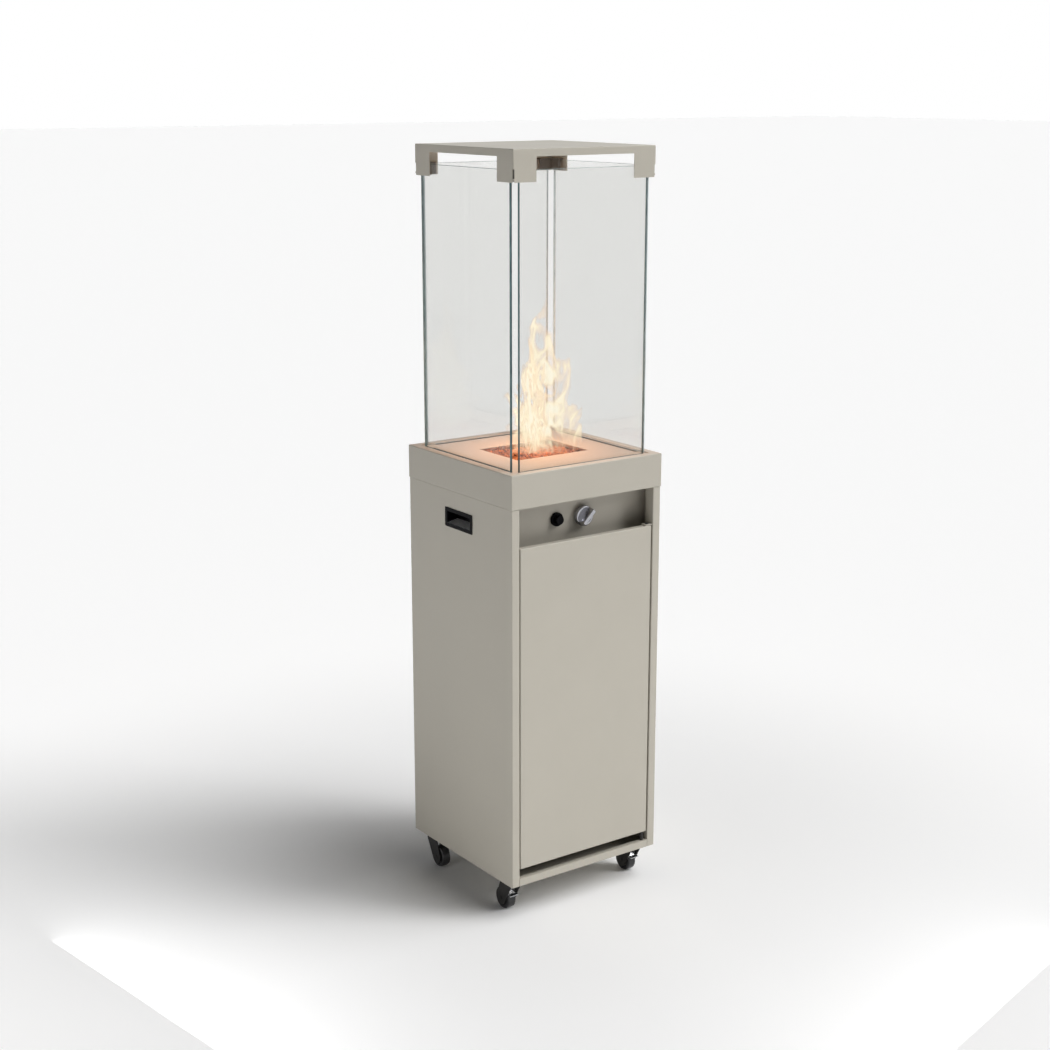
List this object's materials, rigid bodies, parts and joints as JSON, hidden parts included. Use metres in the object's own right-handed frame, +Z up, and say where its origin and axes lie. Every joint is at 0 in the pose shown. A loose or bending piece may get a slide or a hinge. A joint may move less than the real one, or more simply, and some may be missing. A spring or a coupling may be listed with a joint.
{
  "type": "outdoor heater",
  "caption": "Square gas patio heater on casters: steel cabinet with door and recessed controls, and a burner behind glass panes.",
  "frame": {"origin": "on the floor, under the middle of the cabinet", "axes": "+Z up; the door and the controls face -Y; +X is the hinge side of the door"},
  "size_m": [0.4, 0.4, 1.6529],
  "materials": {
    "taupe_paint": "satin powder coat",
    "glass": "clear tempered",
    "black_steel": "satin",
    "wheel_tread": "moulded nylon",
    "zinc": "bright zinc plate",
    "black_plastic": "fine grain",
    "chrome": "polished",
    "brass": "machined",
    "stainless": "polished",
    "lava": "rough",
    "ceramic": "unglazed"
  },
  "bodies": {
    "cabinet": {"base_pan": "taupe_paint", "side_panel_left": "taupe_paint", "side_panel_right": "taupe_paint", "back_panel": "taupe_paint", "control_panel": "taupe_paint", "collar": "taupe_paint", "deck_plate": "taupe_paint", "top_frame": "taupe_paint", "hinge_bracket": "taupe_paint", "glass_pane_front": "glass", "glass_pane_back": "glass", "glass_pane_left": "glass", "glass_pane_right": "glass", "glass_clamp_front_left": "black_steel", "glass_clamp_front_right": "black_steel", "glass_clamp_rear_left": "black_steel", "glass_clamp_rear_right": "black_steel", "caster_front_left_plate": "black_steel", "caster_front_right_plate": "black_steel", "caster_rear_left_plate": "black_steel", "caster_rear_right_plate": "black_steel", "hinge_pin_top": "black_steel", "hinge_pin_bottom": "black_steel", "handle_cup_left": "black_plastic", "handle_cup_right": "black_plastic", "magnet_catch": "black_plastic", "igniter_body": "black_plastic", "igniter_bezel": "black_plastic", "gas_valve": "brass", "hose_nozzle": "brass", "injector": "brass", "gas_pipe": "brass", "burner_tray": "stainless", "burner_tube": "stainless", "heat_shield": "stainless", "thermocouple": "stainless", "lava_bed": "lava", "spark_electrode": "ceramic"},
    "door": {"door_panel": "taupe_paint", "door_stiffener": "taupe_paint", "strike_plate": "zinc"},
    "plunger": {"valve_plunger": "brass"},
    "knob": {"gas_knob": "chrome", "valve_spindle": "brass"},
    "igniter": {"igniter_button": "black_plastic"},
    "fork_front_left": {"caster_front_left_fork": "black_steel", "caster_front_left_axle": "black_steel"},
    "wheel_front_left": {"caster_front_left_wheel": "wheel_tread"},
    "fork_front_right": {"caster_front_right_fork": "black_steel", "caster_front_right_axle": "black_steel"},
    "wheel_front_right": {"caster_front_right_wheel": "wheel_tread"},
    "fork_rear_left": {"caster_rear_left_fork": "black_steel", "caster_rear_left_axle": "black_steel"},
    "wheel_rear_left": {"caster_rear_left_wheel": "wheel_tread"},
    "fork_rear_right": {"caster_rear_right_fork": "black_steel", "caster_rear_right_axle": "black_steel"},
    "wheel_rear_right": {"caster_rear_right_wheel": "wheel_tread"},
    "brake_front_left": {"caster_front_left_brake": "zinc"},
    "brake_front_right": {"caster_front_right_brake": "zinc"}
  },
  "joints": [
    {"name": "door_hinge", "type": "hinge", "parent": "cabinet", "child": "door", "pos_m": [0.16745, -0.19125, 0.45], "axis": [0, 0, 1], "range_deg": [0, 110]},
    {"name": "knob_push", "type": "slide", "parent": "cabinet", "child": "plunger", "axis": [0, 1, 0], "range_m": [0, 0.004], "stiffness_N_per_m": 900, "springref_m": -0.004},
    {"name": "knob_turn", "type": "hinge", "parent": "plunger", "child": "knob", "pos_m": [0.021, -0.14675, 0.874], "axis": [0, -1, 0], "range_deg": [-135, 45]},
    {"name": "igniter_press", "type": "slide", "parent": "cabinet", "child": "igniter", "axis": [0, 1, 0], "range_m": [0, 0.005], "stiffness_N_per_m": 400, "springref_m": -0.004},
    {"name": "swivel_front_left", "type": "hinge", "parent": "cabinet", "child": "fork_front_left", "pos_m": [-0.17, -0.154, 0.068], "axis": [0, 0, 1], "continuous": true},
    {"name": "roll_front_left", "type": "hinge", "parent": "fork_front_left", "child": "wheel_front_left", "pos_m": [-0.17, -0.132, 0.025], "axis": [1, 0, 0], "continuous": true},
    {"name": "brake_press_front_left", "type": "hinge", "parent": "fork_front_left", "child": "brake_front_left", "pos_m": [-0.17, -0.148, 0.0529], "axis": [1, 0, 0], "range_deg": [0, 6]},
    {"name": "swivel_front_right", "type": "hinge", "parent": "cabinet", "child": "fork_front_right", "pos_m": [0.17, -0.154, 0.068], "axis": [0, 0, 1], "continuous": true},
    {"name": "roll_front_right", "type": "hinge", "parent": "fork_front_right", "child": "wheel_front_right", "pos_m": [0.17, -0.132, 0.025], "axis": [1, 0, 0], "continuous": true},
    {"name": "brake_press_front_right", "type": "hinge", "parent": "fork_front_right", "child": "brake_front_right", "pos_m": [0.17, -0.148, 0.0529], "axis": [1, 0, 0], "range_deg": [0, 6]},
    {"name": "swivel_rear_left", "type": "hinge", "parent": "cabinet", "child": "fork_rear_left", "pos_m": [-0.17, 0.154, 0.068], "axis": [0, 0, 1], "continuous": true},
    {"name": "roll_rear_left", "type": "hinge", "parent": "fork_rear_left", "child": "wheel_rear_left", "pos_m": [-0.17, 0.132, 0.025], "axis": [1, 0, 0], "continuous": true},
    {"name": "swivel_rear_right", "type": "hinge", "parent": "cabinet", "child": "fork_rear_right", "pos_m": [0.17, 0.154, 0.068], "axis": [0, 0, 1], "continuous": true},
    {"name": "roll_rear_right", "type": "hinge", "parent": "fork_rear_right", "child": "wheel_rear_right", "pos_m": [0.17, 0.132, 0.025], "axis": [1, 0, 0], "continuous": true}
  ]
}
